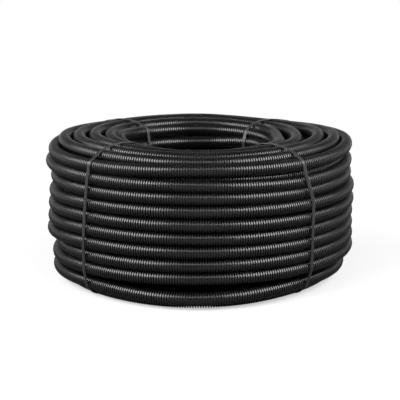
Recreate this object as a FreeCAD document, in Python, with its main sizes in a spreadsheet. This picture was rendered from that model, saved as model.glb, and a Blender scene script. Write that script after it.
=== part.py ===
import FreeCAD, Part
import math
import os

import Sketcher

# A free-standing coil of corrugated, lengthwise-split plastic conduit, held by four flat straps.
# The coil's axis is Z, the straps' undersides lie on Z = 0, and the front faces -Y.

doc = FreeCAD.newDocument("SplitHoseCoil")

# Driving dimensions, in millimetres and degrees.
SIZES = [
    ("tube_od", 15.8),             # outside diameter of the conduit over its ridges
    ("turns_across", 6),           # turns side by side, from the bore to the outside
    ("layer_count", 10),           # turns on top of each other on the outer face
    ("bore_diameter", 178.0),      # clear diameter inside the innermost turns
    ("side_gap", 2.4),             # air between neighbouring turns, across the coil
    ("layer_gap", 0.1),            # air between neighbouring layers, on the outer face
    ("base_gap", 10.9),            # air between the lowest outer turn and the one above it
    ("base_inset", 8.0),           # how far the lowest outer turn lies inside the ones above it
    ("groove_depth", 6.6),         # how deep the grooves between the turns go
    ("top_groove_depth", 9.5),     # the same on the top, where the turns lie looser
    ("base_groove_depth", 12.5),   # the same for the gap above the lowest outer turn
    ("crown_rise", 10.5),          # how far the middle turns stand above the edges of the top
    ("inner_rise", 4.0),           # how much higher the top innermost turn lies than the outermost
    ("strap_width", 4.8),
    ("strap_thickness", 0.8),
    ("strap_clearance", 0.3),      # air between the straps and the crests of the turns
    ("front_left_angle", -45.0),   # angles of the straps, from the front towards +X
    ("front_right_angle", 43.5),
    ("back_right_angle", 140.0),
    ("back_left_angle", -133.0),
]

sheet = doc.addObject("Spreadsheet::Sheet", "Sizes")
for row, (alias, value) in enumerate(SIZES, start=1):
    sheet.set("A%d" % row, alias)
    sheet.set("B%d" % row, str(value))
    sheet.setAlias("B%d" % row, alias)
doc.recompute()


def size(name):
    return float(sheet.get(name))


TURNS = int(size("turns_across"))
LAYERS = int(size("layer_count"))

# The section is drawn in the XZ plane, so a sketch's X is the radius and its Y the height.
RADIUS = "Sizes.tube_od / 2"
FIRST_RADIUS = "(Sizes.bore_diameter / 2 + Sizes.tube_od / 2)"
FIRST_HEIGHT = "(Sizes.strap_thickness + Sizes.strap_clearance + Sizes.tube_od / 2)"
TURN_STEP = "(Sizes.tube_od + Sizes.side_gap)"
LAYER_STEP = "(Sizes.tube_od + Sizes.layer_gap)"
BASE_STEP = "(Sizes.tube_od + Sizes.base_gap)"
BASE_TURN_STEP = "(%s - Sizes.base_inset / (Sizes.turns_across - 1))" % TURN_STEP
STACK = "(%s + %s * (Sizes.layer_count - 2))" % (BASE_STEP, LAYER_STEP)


def column_radius(turn):
    return "%s + %s * %d" % (FIRST_RADIUS, TURN_STEP, turn)


def bottom_centre(turn):
    """A turn of the lowest layer, whose turns lie closer together than those above."""
    return "%s + %s * %d" % (FIRST_RADIUS, BASE_TURN_STEP, turn), FIRST_HEIGHT


def outer_centre(layer):
    """A turn of the outer face above the lowest one, which is layer 0."""
    height = "%s + %s + %s * %d" % (FIRST_HEIGHT, BASE_STEP, LAYER_STEP, layer - 1)
    return column_radius(TURNS - 1), height


def inner_centre(layer):
    share = "%d / (Sizes.layer_count - 1)" % layer
    return column_radius(0), "%s + (%s + Sizes.inner_rise) * %s" % (FIRST_HEIGHT, STACK, share)


def top_centre(turn):
    """The top row arches over the middle turns and leans up towards the bore."""
    share = "%d / (Sizes.turns_across - 1)" % turn
    arch = "Sizes.crown_rise * sin(180 deg * %s)" % share
    lean = "Sizes.inner_rise * (1 - %s)" % share
    return column_radius(turn), "%s + %s + %s + %s" % (FIRST_HEIGHT, STACK, arch, lean)


# Sketcher's numbers for the origin, and for an edge's two ends and centre.
ORIGIN = (-1, 1)
START, END, CENTRE = range(1, 4)


class SectionSketch:
    """A sketch in the XZ plane of arcs about turn centres, joined by straight lines."""

    def __init__(self, body, name):
        self.sketch = body.newObject("Sketcher::SketchObject", name)
        plane = next(f for f in body.Origin.OriginFeatures if f.Role == "XZ_Plane")
        self.sketch.AttachmentSupport = [(plane, "")]
        self.sketch.MapMode = "FlatFace"

    def value(self, expression):
        """The number that an expression of the sheet gives, for the first drawing."""
        return float(self.sketch.evalExpression(expression))

    def bind(self, kind, geometry, expression):
        """A dimension that follows an expression of the sheet."""
        constraint = Sketcher.Constraint(kind, *geometry, self.value(expression))
        index = self.sketch.addConstraint(constraint)
        self.sketch.setExpression("Constraints[%d]" % index, expression)

    def arc(self, centre, radius, start_angle, end_angle):
        """An anticlockwise arc whose centre and radius are bound to the sheet."""
        middle = FreeCAD.Vector(self.value(centre[0]), self.value(centre[1]), 0)
        circle = Part.Circle(middle, FreeCAD.Vector(0, 0, 1), self.value(radius))
        arc = self.sketch.addGeometry(Part.ArcOfCircle(circle, start_angle, end_angle))
        self.bind("DistanceX", (*ORIGIN, arc, CENTRE), centre[0])
        self.bind("DistanceY", (*ORIGIN, arc, CENTRE), centre[1])
        self.bind("Radius", (arc,), radius)
        return arc

    def join(self, arcs, kind):
        """Straight lines from each arc's end to the next arc's start, all the way round."""
        for arc, following in zip(arcs, arcs[1:] + arcs[:1]):
            ends = self.sketch.getPoint(arc, END), self.sketch.getPoint(following, START)
            line = self.sketch.addGeometry(Part.LineSegment(*ends))
            self.sketch.addConstraint(Sketcher.Constraint(kind, arc, END, line, START))
            self.sketch.addConstraint(Sketcher.Constraint(kind, line, END, following, START))


# The way round the section is anticlockwise: this is its heading along each of the four sides.
HEADING = {"bottom": 0.0, "outside": 0.5 * math.pi, "top": math.pi, "bore": 1.5 * math.pi}


def groove_floor(depth):
    """How far outside the centres of a groove's two turns its floor runs."""
    return "(%s - Sizes.%s)" % (RADIUS, depth)


def floor_angle(outline, depth):
    """The angle at which a turn's circle meets the floor of a groove beside it."""
    return math.asin(outline.value(groove_floor(depth)) / outline.value(RADIUS))


def bind_to_floor(outline, arc, point, groove):
    """Keep one end of a turn's arc on the floor of the groove beside it."""
    side, depth = groove
    axis = "DistanceY" if side in ("bottom", "top") else "DistanceX"
    if side in ("bottom", "bore"):
        outline.bind(axis, (arc, point, arc, CENTRE), groove_floor(depth))
    else:
        outline.bind(axis, (arc, CENTRE, arc, point), groove_floor(depth))


def hose_section(body):
    """The coil's scalloped section, run anticlockwise from the bottom turn at the bore."""
    outline = SectionSketch(body, "TurnsSection")
    centres = [bottom_centre(turn) for turn in range(TURNS)]
    centres += [outer_centre(layer) for layer in range(1, LAYERS)]
    centres += [top_centre(turn) for turn in reversed(range(TURNS - 1))]
    centres += [inner_centre(layer) for layer in reversed(range(1, LAYERS - 1))]
    # Each groove runs from a turn to the one after it: its side of the section and its depth.
    grooves = [("bottom", "groove_depth")] * (TURNS - 1)
    grooves += [("outside", "base_groove_depth")]
    grooves += [("outside", "groove_depth")] * (LAYERS - 2)
    grooves += [("top", "top_groove_depth")] * (TURNS - 1)
    grooves += [("bore", "groove_depth")] * (LAYERS - 1)

    arcs = []
    for place, centre in enumerate(centres):
        side_before, depth_before = grooves[place - 1]
        side_after, depth_after = grooves[place]
        before, after = HEADING[side_before], HEADING[side_after]
        if after < before:
            after += 2 * math.pi
        start_angle = before + math.pi + floor_angle(outline, depth_before)
        end_angle = after + 2 * math.pi - floor_angle(outline, depth_after)
        arcs.append(outline.arc(centre, RADIUS, start_angle, end_angle))
    for place, arc in enumerate(arcs):
        bind_to_floor(outline, arc, START, grooves[place - 1])
        bind_to_floor(outline, arc, END, grooves[place])
    outline.join(arcs, "Coincident")
    return outline.sketch


def make_hose_coil():
    """The whole coil as one turned solid, with its turns standing out on every side."""
    body = doc.addObject("PartDesign::Body", "hose_coil")
    body.Label = "hose_coil"
    section = hose_section(body)
    turned = body.newObject("PartDesign::Revolution", "TurnedCoil")
    turned.Profile = section
    turned.ReferenceAxis = (section, ["V_Axis"])
    turned.Angle = 360.0
    body.Tip = turned
    return body


def strap_loop(outline, radius):
    """A taut loop round the turns that a strap touches: arcs about them and tangent lines."""
    centres = [bottom_centre(0), bottom_centre(TURNS - 1)]
    centres += [outer_centre(1), outer_centre(LAYERS - 1)]
    centres += [top_centre(turn) for turn in reversed(range(TURNS - 1))]
    points = [(outline.value(x), outline.value(y)) for x, y in centres]
    headings = []
    for (x0, y0), (x1, y1) in zip(points, points[1:] + points[:1]):
        headings.append(math.atan2(y1 - y0, x1 - x0) % (2 * math.pi))
    arcs = []
    for place, centre in enumerate(centres):
        before, after = headings[place - 1], headings[place]
        if after < before:
            after += 2 * math.pi
        arcs.append(outline.arc(centre, radius, before - 0.5 * math.pi, after - 0.5 * math.pi))
    outline.join(arcs, "Tangent")


def make_strap(name, angle):
    """A flat strap in its own radial plane, through the bore and round the outside."""
    body = doc.addObject("PartDesign::Body", name)
    body.Label = name
    outline = SectionSketch(body, name + "_path")
    inside = RADIUS + " + Sizes.strap_clearance"
    strap_loop(outline, inside)
    strap_loop(outline, inside + " + Sizes.strap_thickness")
    band = body.newObject("PartDesign::Pad", name + "_band")
    band.Profile = outline.sketch
    band.setExpression("Length", "Sizes.strap_width")
    band.Midplane = True
    body.Tip = band
    # The path is drawn in the plane that faces +X, a quarter turn on from the front.
    body.Placement.Rotation = FreeCAD.Rotation(FreeCAD.Vector(0, 0, 1), 0)
    body.setExpression("Placement.Rotation.Angle", "(Sizes.%s - 90) * 1 deg" % angle)
    return body


parts = [
    make_hose_coil(),
    make_strap("front_left_strap", "front_left_angle"),
    make_strap("front_right_strap", "front_right_angle"),
    make_strap("back_left_strap", "back_left_angle"),
    make_strap("back_right_strap", "back_right_angle"),
]
doc.recompute()

for obj in doc.Objects:
    if "Invalid" in obj.State or "Error" in obj.State:
        raise RuntimeError("%s failed: %s" % (obj.Label, obj.State))
for part in parts:
    if part.Shape.isNull() or not part.Shape.isValid() or len(part.Shape.Solids) != 1:
        raise RuntimeError("%s is not one valid solid" % part.Label)

os.makedirs("parts", exist_ok=True)
for part in parts:
    part.Shape.exportStep("parts/%s.step" % part.Label)
    box = part.Shape.BoundBox
    print("%-18s volume %.0f  x %.2f..%.2f  y %.2f..%.2f  z %.2f..%.2f" % (
        part.Label, part.Shape.Volume, box.XMin, box.XMax, box.YMin, box.YMax, box.ZMin, box.ZMax))
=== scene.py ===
import math
import random

import bpy
import numpy as np
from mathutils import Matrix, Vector


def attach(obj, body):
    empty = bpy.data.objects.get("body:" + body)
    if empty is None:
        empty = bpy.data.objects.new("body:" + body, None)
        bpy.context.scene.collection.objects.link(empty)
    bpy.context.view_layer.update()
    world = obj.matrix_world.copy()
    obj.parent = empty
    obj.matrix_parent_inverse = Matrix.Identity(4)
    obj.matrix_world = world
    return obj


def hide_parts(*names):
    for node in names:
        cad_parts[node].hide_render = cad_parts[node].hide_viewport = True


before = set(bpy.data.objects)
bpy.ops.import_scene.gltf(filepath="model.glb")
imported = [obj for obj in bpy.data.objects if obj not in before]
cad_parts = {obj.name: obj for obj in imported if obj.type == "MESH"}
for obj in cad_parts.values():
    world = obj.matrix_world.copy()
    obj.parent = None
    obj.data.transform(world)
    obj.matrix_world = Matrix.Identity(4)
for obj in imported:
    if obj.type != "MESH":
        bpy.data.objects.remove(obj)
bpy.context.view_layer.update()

# The coil's sizes are in millimetres, and MM turns them into metres. Angles round the coil are
# degrees from the front (-Y), positive towards +X. The floor, the lights and the camera's
# distances are in metres.
MM = 0.001
SEED = 20

# The hose: its outside radius over the ridges, and the depth and pitch of its corrugation.
TUBE_RADIUS = 7.9
RIDGE_DEPTH = 1.9
RIDGE_PITCH = 3.03
# The rings of one pitch, as shares of the pitch and of the depth: a ridge, then a groove.
RIDGE_STATIONS = ((0.04, 0.0), (0.50, 0.0), (0.58, 1.0), (0.96, 1.0))
# A hidden turn is a plain tube with flat sides.
PLAIN_STATIONS, PLAIN_PITCH, PLAIN_SIDES = ((0.0, 0.5),), 14.0, 8

# The angles at which the lie of the turns is set: the four straps and the places between them.
FRONT_LEFT, FRONT_RIGHT, BACK_RIGHT, BACK_LEFT = -45.0, 43.5, 140.0, -133.0
KEY_ANGLES = (-180.0, BACK_LEFT, -90.0, FRONT_LEFT, 0.0, FRONT_RIGHT, 90.0, BACK_RIGHT)


def lie(back, back_left, left, front_left, front, front_right, right, back_right):
    """A value at each key angle, in the order of KEY_ANGLES."""
    return (back, back_left, left, front_left, front, front_right, right, back_right)


# Each outer turn from the top down: the heights and the radii of its centre line.
OUTER_HEIGHTS = (
    lie(162.5, 161.0, 161.4, 159.7, 165.6, 163.0, 169.4, 161.5),
    lie(147.5, 145.0, 146.1, 146.0, 147.6, 141.8, 148.7, 145.0),
    lie(132.0, 129.5, 127.9, 130.9, 132.9, 128.9, 132.6, 129.5),
    lie(116.5, 114.0, 106.9, 115.9, 117.0, 114.8, 116.0, 114.0),
    lie(101.0, 98.5, 90.6, 99.8, 101.0, 98.7, 98.6, 98.5),
    lie(85.5, 83.0, 74.0, 84.0, 85.0, 83.2, 83.2, 83.0),
    lie(69.5, 67.5, 58.2, 68.3, 69.0, 68.5, 68.2, 67.5),
    lie(53.5, 52.0, 42.8, 51.8, 53.2, 53.2, 54.0, 52.0),
    lie(37.5, 36.3, 28.9, 35.7, 37.6, 38.0, 39.7, 36.5),
    lie(10.4, 14.5, 11.5, 16.2, 13.0, 19.2, 17.0, 14.5),
)
OUTER_RADII = (
    lie(185.5, 183.0, 183.2, 182.0, 185.0, 182.0, 184.1, 183.0),
    lie(186.0, 184.5, 187.5, 184.0, 185.0, 182.6, 184.1, 184.5),
    lie(185.0, 184.0, 180.0, 184.2, 185.5, 182.0, 183.9, 184.0),
    lie(186.5, 185.0, 182.9, 184.6, 185.0, 186.0, 188.0, 185.0),
    lie(185.5, 185.0, 184.8, 184.2, 185.8, 185.6, 188.3, 185.0),
    lie(186.0, 184.5, 185.8, 184.6, 185.2, 184.6, 186.2, 184.5),
    lie(185.0, 184.5, 187.3, 184.8, 185.6, 184.6, 186.8, 184.5),
    lie(185.5, 184.5, 171.0, 184.0, 185.0, 184.4, 187.2, 184.5),
    lie(185.0, 183.5, 180.0, 182.6, 184.4, 183.6, 188.0, 183.5),
    lie(183.0, 176.5, 180.6, 176.8, 188.0, 175.5, 176.5, 176.5),
)

# The turns of the top layer inside the outermost one, from outside to inside.
TOP_HEIGHTS = (
    lie(167.0, 166.5, 172.2, 170.0, 170.3, 170.3, 174.0, 164.5),
    lie(171.0, 170.0, 174.3, 173.0, 172.6, 173.0, 175.5, 167.0),
    lie(174.5, 171.5, 175.4, 174.6, 171.6, 173.8, 172.5, 168.3),
    lie(171.5, 170.0, 174.5, 172.6, 167.4, 172.4, 169.0, 167.0),
    lie(165.0, 165.0, 172.0, 166.5, 163.0, 165.5, 157.0, 163.5),
)
TOP_RADII = (
    lie(169.0, 167.0, 171.6, 165.6, 169.0, 166.2, 169.4, 167.0),
    lie(152.0, 151.0, 152.7, 149.8, 153.0, 150.4, 148.4, 151.0),
    lie(133.0, 134.0, 131.5, 134.2, 137.0, 134.6, 118.0, 134.0),
    lie(114.0, 117.0, 111.0, 118.6, 120.5, 119.0, 93.5, 117.0),
    lie(99.0, 101.2, 101.6, 103.0, 104.0, 103.4, 104.0, 101.2),
)

# The bore's turns are evenly spaced, and the top one sags by BORE_SAG.
BORE_TURNS = 9
BORE_TOP_HEIGHT, BOTTOM_HEIGHT = 149.4, 9.2
BORE_SAG = lie(1.8, 0.0, 0.0, 0.0, 0.0, 0.0, -1.5, -3.0)
BORE_RADII = lie(97.5, 98.0, 99.0, 98.0, 97.0, 98.0, 94.0, 98.0)

# The bottom layer inside the outer turn. Its first turn, the foot, shows below that one in front.
BOTTOM_TURNS = 5
FOOT_RADII = lie(169.0, 163.0, 165.0, 171.0, 180.0, 167.0, 162.0, 163.0)
FOOT_HEIGHTS = lie(9.2, 9.2, 9.2, 9.6, 8.1, 12.0, 10.5, 9.2)

# The turns under the top layer, each below and between two of it.
UNDER_TURNS, UNDER_DROP = 5, 13.0

# The hidden turns: every second column stands higher.
HIDDEN_LAYERS, HIDDEN_COLUMNS, HIDDEN_RADIUS = 9, 4, 186.0
HIDDEN_LOWEST, HIDDEN_SPACING, HIDDEN_STAGGER = 25.0, 15.0, 7.0

# The side of the tube that is seen, in degrees above the outward direction.
OUTWARD, UPWARD, INWARD, DOWNWARD = 0.0, 90.0, 180.0, -90.0
TOP_EDGE, LOW_EDGE, RIM, FOOT = 35.0, -25.0, 120.0, -60.0
# Fine steps cover the section as far as this to each side of there, and coarse ones the rest.
SEEN_HALF = 105.0
# How many fine and coarse steps a section has.
OUTER_STEPS, TOP_STEPS, BORE_STEPS = (10, 3), (11, 4), (7, 3)
FOOT_STEPS, BOTTOM_STEPS, UNDER_STEPS = (8, 2), (6, 3), (5, 3)

# How far a turn wanders off its set lie, sideways and as a share of that in height.
TURN_WOBBLE, BORE_WOBBLE, FOOT_WOBBLE, UNDER_WOBBLE = 0.5, 0.8, 0.3, 0.4
HEIGHT_WOBBLE = 0.6
WOBBLE_WAVES = (2, 3, 5, 7)
SEEDS_A_TURN, HEIGHT_SEED = 10, 5
# The lie is rounded off between the key angles: the bell's width and reach, in degrees.
BELL_WIDTH, BELL_REACH = 11.0, 40
CENTRE_LINE_STEP = 0.25

# The straps: a flat band with bevelled edges, just clear of the ridges.
STRAP_WIDTH, STRAP_THICKNESS, STRAP_AIR = 4.8, 0.7, 0.15
STRAP_BEVEL_ACROSS, STRAP_BEVEL_UP = 0.25, 0.1
STRAP_STEP, HULL_STEPS = 2.0, 48
# How the front straps lie off their own angle, and how the right one turns, by height.
LEFT_SWING = ((30.0, -1.8), (60.0, -1.0), (100.0, 0.0), (122.0, 0.7), (153.0, 1.9))
RIGHT_SWING = ((118.0, 0.0), (137.0, -1.8), (153.0, -3.5), (168.0, -4.3))
RIGHT_TWIST = ((112.0, 0.0), (122.0, 12.0), (158.0, 12.0), (168.0, 0.0))
STRAIGHT = ((0.0, 0.0),)

# Plastic: the clouds in its colour and gloss, and its fine uneven surface.
CLOUD_SCALE, CLOUD_DETAIL, CLOUD_ROUGH = 28.0, 6.0, 0.6
GRAIN_DETAIL, GRAIN_ROUGH, GRAIN_HEIGHT = 3.0, 0.55, 0.0004
DARK_AT, LIGHT_AT = 0.35, 0.7
GLOSS_RANGE = (0.3, 0.7)
HOSE_DARK, HOSE_LIGHT = (0.004, 0.004, 0.0045), (0.008, 0.008, 0.009)
HOSE_SPECULAR, HOSE_ROUGH, HOSE_GRAIN, HOSE_BUMP = 1.0, (0.29, 0.37), 900.0, 0.06
STRAP_DARK, STRAP_LIGHT = (0.025, 0.025, 0.027), (0.04, 0.04, 0.043)
STRAP_SPECULAR, STRAP_ROUGH, STRAP_GRAIN, STRAP_BUMP = 0.5, (0.3, 0.42), 1400.0, 0.1

# The floor: half its side, its grey to the camera and to all other rays, and the distances
# between which it whitens to the background.
FLOOR_REACH, FLOOR_PALE, FLOOR_DIM = 4.0, 0.95, 0.12
FLOOR_ROUGH, FLOOR_SPECULAR = 0.8, 0.1
FLOOR_NEAR, FLOOR_FAR, FLOOR_WHITE_NEAR, FLOOR_WHITE_FAR = 0.35, 1.1, 0.5, 1.0
# In reflections the floor whitens with distance, and sooner to the sides than to the front.
REFLECTED_NEAR, REFLECTED_FAR, REFLECTED_SHAPE = 0.8, 2.4, (1.5, 0.6, 0.0)

# The world: its strength as light, and in reflections its strength in front and behind, and
# how high above the horizon its white reaches there, as the direction's height.
AMBIENT, ROOM_FRONT, ROOM_BACK = 0.22, 0.02, 0.06
GLOW_FRONT, GLOW_BACK = 0.05, 0.35
# Where front, middle and back lie, as the direction's share of +Y.
ROOM_FRONT_AT, MIDDLE_AT, BACK_AT = -0.4, 0.0, 0.9

# The softboxes: place, width and height, power in watts. Those on the left mirror the right.
LIGHT_TARGET = (0.0, 0.0, 0.09)
KEY_PLACE, KEY_SIZE, KEY_POWER = (1.41, -0.87, 1.25), (1.8, 1.2), 46.0
FRONT_PLACE, FRONT_SIZE, FRONT_POWER = (0.0, -1.45, 1.40), (0.9, 0.45), 2.8
SIDE_PLACE, SIDE_SIZE = (1.6, 0.42, 1.0), (0.9, 0.9)
LEFT_SIDE_POWER, RIGHT_SIDE_POWER = 12.0, 6.0

# The camera: the photograph's width in pixels, and the scale of a pixel at the coil's axis.
IMAGE_PX, MM_A_PIXEL = 400.0, 1.28
CAMERA_SENSOR, CAMERA_DISTANCE_PX = 36.0, 1370.0
CAMERA_ELEVATION, CAMERA_AIM_HEIGHT = 12.5, 0.0902


def level(value):
    """The same value at every key angle."""
    return (value,) * len(KEY_ANGLES)


def around(values, wobble=0.0, seed=0):
    """A smooth function of the angle round the coil through one value for each key angle."""
    grid = np.arange(-180.0, 180.0, 1.0)
    keyed = np.interp(grid, KEY_ANGLES, values, period=360.0)
    offsets = np.arange(-BELL_REACH, BELL_REACH + 1)
    weights = np.exp(-0.5 * (offsets / BELL_WIDTH) ** 2)
    rounded = np.convolve(np.tile(keyed, 3), weights / weights.sum(), mode="same")
    smooth = rounded[len(grid):2 * len(grid)]
    draw = random.Random(SEED + seed)
    for waves in WOBBLE_WAVES:
        phase = draw.uniform(0.0, 360.0)
        size = wobble * draw.uniform(0.5, 1.0) / waves
        smooth = smooth + size * np.sin(np.radians(waves * grid + phase))
    return lambda angle: np.interp(angle, grid, smooth, period=360.0)


def spaced_angles(facing, fine, coarse):
    """Angles round the tube's section: fine steps over the seen side, coarse ones behind."""
    seen = np.linspace(-SEEN_HALF, SEEN_HALF, fine + 1)
    behind = np.linspace(SEEN_HALF, 360.0 - SEEN_HALF, coarse + 1)[1:-1]
    return np.radians(np.concatenate([seen, behind]) + facing)


def centre_line(radius_at, height_at, angles):
    """Points of a turn's centre line at the given angles."""
    radii, heights, turns = radius_at(angles), height_at(angles), np.radians(angles)
    return np.stack([radii * np.sin(turns), -radii * np.cos(turns), heights], axis=1)


def ring_faces(count, size):
    """The quads between the rings of a closed loop, each ring with the same number of points."""
    row = np.arange(count)[:, None] * size
    next_row = (np.arange(count)[:, None] + 1) % count * size
    column = np.arange(size)[None, :]
    next_column = (column + 1) % size
    return np.stack([row + column, next_row + column, next_row + next_column,
                     row + next_column], axis=2).reshape(-1, 4)


def turn_mesh(radius_at, height_at, section, stations, pitch):
    """Points and faces of one closed turn, with a ring of points at every station."""
    fine = np.arange(0.0, 360.0, CENTRE_LINE_STEP)
    line = centre_line(radius_at, height_at, fine)
    steps = np.linalg.norm(np.roll(line, -1, axis=0) - line, axis=1)
    along = np.concatenate([[0.0], np.cumsum(steps)])
    ridges = int(round(along[-1] / pitch))
    lengths = np.concatenate([[(ridge + where) for where, _ in stations]
                              for ridge in range(ridges)]) * along[-1] / ridges
    depths = np.tile([depth for _, depth in stations], ridges) * RIDGE_DEPTH
    angles = np.interp(lengths, along, np.concatenate([fine, [360.0]]))
    centres = centre_line(radius_at, height_at, angles)
    tangents = np.roll(centres, -1, axis=0) - np.roll(centres, 1, axis=0)
    tangents /= np.linalg.norm(tangents, axis=1)[:, None]
    turns = np.radians(angles)
    outward = np.stack([np.sin(turns), -np.cos(turns), np.zeros_like(turns)], axis=1)
    outward -= tangents * np.sum(outward * tangents, axis=1)[:, None]
    outward /= np.linalg.norm(outward, axis=1)[:, None]
    upward = np.cross(outward, tangents)
    upward *= np.sign(upward[:, 2])[:, None]
    reach = (TUBE_RADIUS - depths)[:, None]
    rings = [centres + reach * (math.cos(a) * outward + math.sin(a) * upward) for a in section]
    points = np.stack(rings, axis=1).reshape(-1, 3)
    return points, ring_faces(len(lengths), len(section))


def mark_sharp_rings(mesh, ring_size):
    """Make the edges that run round the tube sharp, so each ridge keeps a crisp crest."""
    ends = np.empty(len(mesh.edges) * 2, dtype=np.int32)
    mesh.edges.foreach_get("vertices", ends)
    ends = ends.reshape(-1, 2)
    same_ring = ends[:, 0] // ring_size == ends[:, 1] // ring_size
    sharp = mesh.attributes.new("sharp_edge", "BOOLEAN", "EDGE")
    sharp.data.foreach_set("value", same_ring)


def mesh_object(name, parts, material, ring_size=0):
    """One smooth-shaded object from a list of points and quads in millimetres."""
    points = np.concatenate([p for p, _ in parts]) * MM
    starts = np.cumsum([0] + [len(p) for p, _ in parts[:-1]])
    faces = np.concatenate([f + start for (_, f), start in zip(parts, starts)])
    mesh = bpy.data.meshes.new(name)
    mesh.vertices.add(len(points))
    mesh.vertices.foreach_set("co", points.astype(np.float32).ravel())
    mesh.loops.add(faces.size)
    mesh.loops.foreach_set("vertex_index", faces.astype(np.int32).ravel())
    mesh.polygons.add(len(faces))
    mesh.polygons.foreach_set("loop_start", np.arange(0, faces.size, 4, dtype=np.int32))
    mesh.polygons.foreach_set("use_smooth", np.ones(len(faces), dtype=bool))
    mesh.update(calc_edges=True)
    mesh.validate()
    if ring_size:
        mark_sharp_rings(mesh, ring_size)
    mesh.materials.append(material)
    obj = bpy.data.objects.new(name, mesh)
    bpy.context.scene.collection.objects.link(obj)
    return obj


def node(tree, kind, **inputs):
    """A shader node with values set on its input sockets by name."""
    made = tree.nodes.new(kind)
    for name, value in inputs.items():
        made.inputs[name.replace("_", " ")].default_value = value
    return made


def math_node(tree, kind, operation):
    """A Math or Vector Math node of one operation."""
    made = tree.nodes.new(kind)
    made.operation = operation
    return made


def plastic(name, dark, light, specular, rough, grain, bump):
    """Moulded plastic: faint cloudy colour, patchy gloss and a fine uneven surface."""
    material = bpy.data.materials.new(name)
    material.use_nodes = True
    tree = material.node_tree
    shader = tree.nodes["Principled BSDF"]
    shader.inputs["Specular IOR Level"].default_value = specular
    place = tree.nodes.new("ShaderNodeTexCoord")
    clouds = node(tree, "ShaderNodeTexNoise", Scale=CLOUD_SCALE, Detail=CLOUD_DETAIL,
                  Roughness=CLOUD_ROUGH)
    tree.links.new(place.outputs["Object"], clouds.inputs["Vector"])
    colour = tree.nodes.new("ShaderNodeValToRGB")
    colour.color_ramp.elements[0].position = DARK_AT
    colour.color_ramp.elements[0].color = (*dark, 1.0)
    colour.color_ramp.elements[1].position = LIGHT_AT
    colour.color_ramp.elements[1].color = (*light, 1.0)
    tree.links.new(clouds.outputs["Fac"], colour.inputs["Fac"])
    tree.links.new(colour.outputs["Color"], shader.inputs["Base Color"])
    gloss = node(tree, "ShaderNodeMapRange", From_Min=GLOSS_RANGE[0], From_Max=GLOSS_RANGE[1],
                 To_Min=rough[0], To_Max=rough[1])
    tree.links.new(clouds.outputs["Fac"], gloss.inputs["Value"])
    tree.links.new(gloss.outputs["Result"], shader.inputs["Roughness"])
    fine = node(tree, "ShaderNodeTexNoise", Scale=grain, Detail=GRAIN_DETAIL,
                Roughness=GRAIN_ROUGH)
    tree.links.new(place.outputs["Object"], fine.inputs["Vector"])
    relief = node(tree, "ShaderNodeBump", Strength=bump, Distance=GRAIN_HEIGHT)
    tree.links.new(fine.outputs["Fac"], relief.inputs["Height"])
    tree.links.new(relief.outputs["Normal"], shader.inputs["Normal"])
    return material


HOSE_PLASTIC = plastic("black_hose", HOSE_DARK, HOSE_LIGHT, HOSE_SPECULAR, HOSE_ROUGH,
                       HOSE_GRAIN, HOSE_BUMP)
STRAP_PLASTIC = plastic("grey_strap", STRAP_DARK, STRAP_LIGHT, STRAP_SPECULAR, STRAP_ROUGH,
                        STRAP_GRAIN, STRAP_BUMP)

# The radius and the height of each corrugated turn laid so far, as functions of the angle.
laid_turns = {}


def add_turn(name, radii, heights, facing, steps, wobble=TURN_WOBBLE):
    """One corrugated turn as its own piece; facing is the side of the tube that is seen."""
    seed = len(laid_turns) * SEEDS_A_TURN
    radius_at = around(radii, wobble, seed)
    height_at = around(heights, HEIGHT_WOBBLE * wobble, seed + HEIGHT_SEED)
    laid_turns[name] = (radius_at, height_at)
    mesh = turn_mesh(radius_at, height_at, spaced_angles(facing, *steps), RIDGE_STATIONS,
                     RIDGE_PITCH)
    piece = mesh_object(name, [mesh], HOSE_PLASTIC, sum(steps))
    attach(piece, "root")
    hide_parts("hose_coil")


def add_outer_turns():
    """The outer column, from the top down."""
    last = len(OUTER_RADII)
    for place, (radii, heights) in enumerate(zip(OUTER_RADII, OUTER_HEIGHTS), start=1):
        facing = {1: TOP_EDGE, last: LOW_EDGE}.get(place, OUTWARD)
        add_turn("outer_turn_%02d" % place, radii, heights, facing, OUTER_STEPS)


def add_top_turns():
    """The top layer, from the second turn in to the bore's rim."""
    last = len(TOP_RADII) + 1
    for place, (radii, heights) in enumerate(zip(TOP_RADII, TOP_HEIGHTS), start=2):
        facing = RIM if place == last else UPWARD
        add_turn("top_turn_%d" % place, radii, heights, facing, TOP_STEPS)


def add_bore_turns():
    """The column round the bore, below its rim."""
    step = (BORE_TOP_HEIGHT - BOTTOM_HEIGHT) / (BORE_TURNS - 1)
    for place in range(BORE_TURNS):
        heights = [BORE_TOP_HEIGHT - step * place - (0.0 if place else sag) for sag in BORE_SAG]
        add_turn("bore_turn_%d" % (place + 1), BORE_RADII, heights, INWARD, BORE_STEPS,
                 BORE_WOBBLE)


def add_bottom_turns():
    """The bottom layer, from the foot to the bore."""
    add_turn("bottom_turn_1", FOOT_RADII, FOOT_HEIGHTS, FOOT, FOOT_STEPS, FOOT_WOBBLE)
    for place in range(1, BOTTOM_TURNS):
        share = place / BOTTOM_TURNS
        radii = [outer + (inner - outer) * share for outer, inner in zip(FOOT_RADII, BORE_RADII)]
        add_turn("bottom_turn_%d" % (place + 1), radii, level(BOTTOM_HEIGHT), DOWNWARD,
                 BOTTOM_STEPS)


def add_under_turns():
    """The next layer down, seen in the gaps between the turns of the top layer."""
    radii = (OUTER_RADII[0],) + TOP_RADII
    heights = (OUTER_HEIGHTS[0],) + TOP_HEIGHTS
    for place in range(UNDER_TURNS):
        between = [0.5 * (a + b) for a, b in zip(radii[place], radii[place + 1])]
        below = [min(a, b) - UNDER_DROP for a, b in zip(heights[place], heights[place + 1])]
        add_turn("under_turn_%d" % (place + 1), between, below, UPWARD, UNDER_STEPS, UNDER_WOBBLE)


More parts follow.
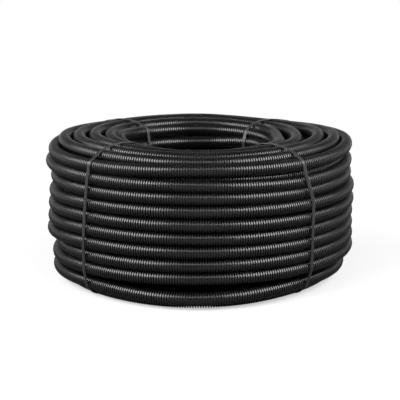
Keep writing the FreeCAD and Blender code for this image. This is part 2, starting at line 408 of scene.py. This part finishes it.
def add_hidden_turns():
    """Plain turns that fill the winding behind the seen ones."""
    section = np.radians(np.arange(0.0, 360.0, 360.0 / PLAIN_SIDES))
    meshes = []
    for layer in range(HIDDEN_LAYERS):
        for column in range(HIDDEN_COLUMNS):
            share = (column + 1) / (HIDDEN_COLUMNS + 1)
            radii = [HIDDEN_RADIUS + (inner - HIDDEN_RADIUS) * share for inner in BORE_RADII]
            stagger = HIDDEN_STAGGER if column % 2 == 0 else 0.0
            height = HIDDEN_LOWEST + HIDDEN_SPACING * layer + stagger
            meshes.append(turn_mesh(around(radii), around(level(height)), section,
                                    PLAIN_STATIONS, PLAIN_PITCH))
    piece = mesh_object("hidden_turns", meshes, HOSE_PLASTIC)
    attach(piece, "root")
    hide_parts("hose_coil")


def at_height(pairs, height):
    """A value at a height, from a short list of heights and values."""
    return np.interp(height, [at for at, _ in pairs], [value for _, value in pairs])


def turn_side(a, b, c):
    """Above 0 where the way from a over b to c turns left, and below 0 where it turns right."""
    return (b[0] - a[0]) * (c[1] - a[1]) - (b[1] - a[1]) * (c[0] - a[0])


def hull_path(angle, swing):
    """The taut path round the winding's section at one angle, as radius and height points."""
    steps = np.radians(np.arange(0.0, 360.0, 360.0 / HULL_STEPS))
    reach = TUBE_RADIUS + STRAP_AIR
    cloud = []
    for radius_at, height_at in laid_turns.values():
        there = angle + at_height(swing, height_at(angle))
        cloud += [(float(radius_at(there)) + reach * math.cos(step),
                   float(height_at(there)) + reach * math.sin(step)) for step in steps]
    cloud.sort()
    halves = []
    for ordered in (cloud, cloud[::-1]):
        half = []
        for point in ordered:
            while len(half) > 1 and turn_side(half[-2], half[-1], point) <= 0:
                half.pop()
            half.append(point)
        halves += half[:-1]
    return even_path(np.array(halves))


def even_path(points):
    """The same closed path with evenly spaced points."""
    closed = np.vstack([points, points[:1]])
    along = np.concatenate([[0.0], np.cumsum(np.linalg.norm(np.diff(closed, axis=0), axis=1))])
    count = int(along[-1] / STRAP_STEP)
    where = np.arange(count) * along[-1] / count
    return np.stack([np.interp(where, along, closed[:, axis]) for axis in (0, 1)], axis=1)


def add_strap(node_name, angle, swing=STRAIGHT, twist=STRAIGHT):
    """A flat ribbon round the winding.

    swing says how far its angle shifts with its height, and twist how far it turns about its
    own length towards the front.
    """
    path = hull_path(angle, swing)
    shifted = np.radians(angle + at_height(swing, path[:, 1]))
    turned = np.radians(at_height(twist, path[:, 1]))
    ahead = np.roll(path, -1, axis=0) - np.roll(path, 1, axis=0)
    ahead /= np.linalg.norm(ahead, axis=1)[:, None]
    outside = np.stack([ahead[:, 1], -ahead[:, 0]], axis=1)
    half, thick = STRAP_WIDTH / 2, STRAP_THICKNESS
    flat_half, bevel = half - STRAP_BEVEL_ACROSS, STRAP_BEVEL_UP
    section = ((-half, bevel), (-flat_half, 0.0), (flat_half, 0.0), (half, bevel),
               (half, thick - bevel), (flat_half, thick), (-flat_half, thick),
               (-half, thick - bevel))
    rings = []
    for across, lift in section:
        raised = lift * np.cos(turned) + (half + across) * np.sin(turned)
        sideways = across * np.cos(turned) - lift * np.sin(turned)
        flat = path + outside * raised[:, None]
        rings.append(np.stack([
            flat[:, 0] * np.sin(shifted) + sideways * np.cos(shifted),
            -flat[:, 0] * np.cos(shifted) + sideways * np.sin(shifted),
            flat[:, 1]], axis=1))
    points = np.stack(rings, axis=1).reshape(-1, 3)
    # The section runs the other way round than a turn's, so the quads' points do too.
    faces = ring_faces(len(path), len(section))[:, [0, 3, 2, 1]]
    piece = mesh_object(node_name + "_band", [(points, faces)], STRAP_PLASTIC)
    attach(piece, "root")
    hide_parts(node_name)


def seen_rays(tree, kinds):
    """One output that is 1 for the kinds of ray named and 0 for the others."""
    rays = tree.nodes.new("ShaderNodeLightPath")
    total = rays.outputs[kinds[0]]
    for kind in kinds[1:]:
        either = math_node(tree, "ShaderNodeMath", "MAXIMUM")
        tree.links.new(total, either.inputs[0])
        tree.links.new(rays.outputs[kind], either.inputs[1])
        total = either.outputs["Value"]
    return total


def grey(value):
    """An opaque grey as a colour socket takes it."""
    return (value, value, value, 1.0)


def pale_floor():
    """A pale floor's material that fades to the white background with the distance."""
    material = bpy.data.materials.new("pale_floor")
    material.use_nodes = True
    tree = material.node_tree
    shader = tree.nodes["Principled BSDF"]
    colour = tree.nodes.new("ShaderNodeMix")
    colour.data_type = "RGBA"
    colour.inputs["A"].default_value = grey(FLOOR_DIM)
    colour.inputs["B"].default_value = grey(FLOOR_PALE)
    tree.links.new(seen_rays(tree, ["Is Camera Ray"]), colour.inputs["Factor"])
    tree.links.new(colour.outputs["Result"], shader.inputs["Base Color"])
    shader.inputs["Roughness"].default_value = FLOOR_ROUGH
    shader.inputs["Specular IOR Level"].default_value = FLOOR_SPECULAR
    white = node(tree, "ShaderNodeEmission", Color=grey(1.0))
    place = tree.nodes.new("ShaderNodeTexCoord")
    reach = math_node(tree, "ShaderNodeVectorMath", "LENGTH")
    tree.links.new(place.outputs["Object"], reach.inputs[0])
    fade = node(tree, "ShaderNodeMapRange", From_Min=FLOOR_NEAR, From_Max=FLOOR_FAR,
                To_Min=FLOOR_WHITE_NEAR, To_Max=FLOOR_WHITE_FAR)
    fade.interpolation_type = "SMOOTHSTEP"
    tree.links.new(reach.outputs["Value"], fade.inputs["Value"])
    camera_share = math_node(tree, "ShaderNodeMath", "MULTIPLY")
    tree.links.new(fade.outputs["Result"], camera_share.inputs[0])
    tree.links.new(seen_rays(tree, ["Is Camera Ray"]), camera_share.inputs[1])
    shaped = math_node(tree, "ShaderNodeVectorMath", "MULTIPLY")
    shaped.inputs[1].default_value = REFLECTED_SHAPE
    tree.links.new(place.outputs["Object"], shaped.inputs[0])
    spread = math_node(tree, "ShaderNodeVectorMath", "LENGTH")
    tree.links.new(shaped.outputs["Vector"], spread.inputs[0])
    far_away = node(tree, "ShaderNodeMapRange", From_Min=REFLECTED_NEAR, From_Max=REFLECTED_FAR)
    tree.links.new(spread.outputs["Value"], far_away.inputs["Value"])
    share = math_node(tree, "ShaderNodeMath", "MULTIPLY_ADD")
    reflected = seen_rays(tree, ["Is Glossy Ray", "Is Transmission Ray"])
    tree.links.new(far_away.outputs["Result"], share.inputs[0])
    tree.links.new(reflected, share.inputs[1])
    tree.links.new(camera_share.outputs["Value"], share.inputs[2])
    mix = tree.nodes.new("ShaderNodeMixShader")
    tree.links.new(share.outputs["Value"], mix.inputs["Fac"])
    tree.links.new(shader.outputs["BSDF"], mix.inputs[1])
    tree.links.new(white.outputs["Emission"], mix.inputs[2])
    tree.links.new(mix.outputs["Shader"], tree.nodes["Material Output"].inputs["Surface"])
    return material


def add_floor():
    """One flat square that takes the object's shadow."""
    far = FLOOR_REACH
    mesh = bpy.data.meshes.new("floor")
    mesh.from_pydata([(-far, -far, 0), (far, -far, 0), (far, far, 0), (-far, far, 0)], [],
                     [(0, 1, 2, 3)])
    mesh.materials.append(pale_floor())
    floor = bpy.data.objects.new("floor", mesh)
    bpy.context.scene.collection.objects.link(floor)


def add_world():
    """White to the camera and, in reflections, up to the horizon, with a dim room above it.

    Behind the object the white fades out higher above the horizon than in front of it.
    """
    world = bpy.data.worlds.new("studio")
    bpy.context.scene.world = world
    world.use_nodes = True
    tree = world.node_tree
    back = tree.nodes["Background"]
    back.inputs["Color"].default_value = grey(1.0)
    place = tree.nodes.new("ShaderNodeTexCoord")
    split = tree.nodes.new("ShaderNodeSeparateXYZ")
    tree.links.new(place.outputs["Generated"], split.inputs["Vector"])
    room = node(tree, "ShaderNodeMapRange", From_Min=ROOM_FRONT_AT, From_Max=BACK_AT,
                To_Min=ROOM_FRONT, To_Max=ROOM_BACK)
    tree.links.new(split.outputs["Y"], room.inputs["Value"])
    glow = node(tree, "ShaderNodeMapRange", From_Min=MIDDLE_AT, From_Max=BACK_AT,
                To_Min=GLOW_FRONT, To_Max=GLOW_BACK)
    tree.links.new(split.outputs["Y"], glow.inputs["Value"])
    horizon = node(tree, "ShaderNodeMapRange", From_Min=0.0, To_Min=1.0)
    tree.links.new(split.outputs["Z"], horizon.inputs["Value"])
    tree.links.new(glow.outputs["Result"], horizon.inputs["From Max"])
    tree.links.new(room.outputs["Result"], horizon.inputs["To Max"])
    reflected = tree.nodes.new("ShaderNodeMix")
    reflected.inputs["A"].default_value = AMBIENT
    rays = seen_rays(tree, ["Is Glossy Ray", "Is Transmission Ray"])
    tree.links.new(rays, reflected.inputs["Factor"])
    tree.links.new(horizon.outputs["Result"], reflected.inputs["B"])
    strength = tree.nodes.new("ShaderNodeMix")
    strength.inputs["B"].default_value = 1.0
    tree.links.new(seen_rays(tree, ["Is Camera Ray"]), strength.inputs["Factor"])
    tree.links.new(reflected.outputs["Result"], strength.inputs["A"])
    tree.links.new(strength.outputs["Result"], back.inputs["Strength"])


def add_light(name, place, size, power):
    """A rectangular softbox that looks at the coil."""
    data = bpy.data.lights.new(name, "AREA")
    data.shape = "RECTANGLE"
    data.size, data.size_y = size
    data.energy = power
    light = bpy.data.objects.new(name, data)
    light.location = place
    direction = np.array(LIGHT_TARGET) - np.array(place)
    light.rotation_euler = Vector(direction).to_track_quat("-Z", "Y").to_euler()
    bpy.context.scene.collection.objects.link(light)


def mirrored(place):
    """The same place on the other side, left for right."""
    return (-place[0], place[1], place[2])


def add_lights():
    """Two key lights from the sides in front, a faint one in front and two at the sides."""
    add_light("left_softbox", mirrored(KEY_PLACE), KEY_SIZE, KEY_POWER)
    add_light("right_softbox", KEY_PLACE, KEY_SIZE, KEY_POWER)
    add_light("front_softbox", FRONT_PLACE, FRONT_SIZE, FRONT_POWER)
    add_light("left_side_softbox", mirrored(SIDE_PLACE), SIDE_SIZE, LEFT_SIDE_POWER)
    add_light("right_side_softbox", SIDE_PLACE, SIDE_SIZE, RIGHT_SIDE_POWER)


def add_camera():
    """The photograph's view, from a little above."""
    data = bpy.data.cameras.new("camera")
    data.sensor_width = CAMERA_SENSOR
    data.lens = CAMERA_SENSOR * CAMERA_DISTANCE_PX / IMAGE_PX
    camera = bpy.data.objects.new("camera", data)
    elevation = math.radians(CAMERA_ELEVATION)
    aim = Vector((0.0, 0.0, CAMERA_AIM_HEIGHT))
    towards = Vector((0.0, -math.cos(elevation), math.sin(elevation)))
    away = towards * CAMERA_DISTANCE_PX * MM_A_PIXEL * MM
    camera.location = aim + away
    camera.rotation_euler = (-away).to_track_quat("-Z", "Y").to_euler()
    bpy.context.scene.collection.objects.link(camera)
    bpy.context.scene.camera = camera


add_outer_turns()
add_top_turns()
add_bore_turns()
add_bottom_turns()
add_under_turns()
add_hidden_turns()
add_strap("front_left_strap", FRONT_LEFT, LEFT_SWING)
add_strap("front_right_strap", FRONT_RIGHT, RIGHT_SWING, RIGHT_TWIST)
add_strap("back_left_strap", BACK_LEFT)
add_strap("back_right_strap", BACK_RIGHT)
add_floor()
add_world()
add_lights()
add_camera()
bpy.context.scene.view_settings.view_transform = "Standard"
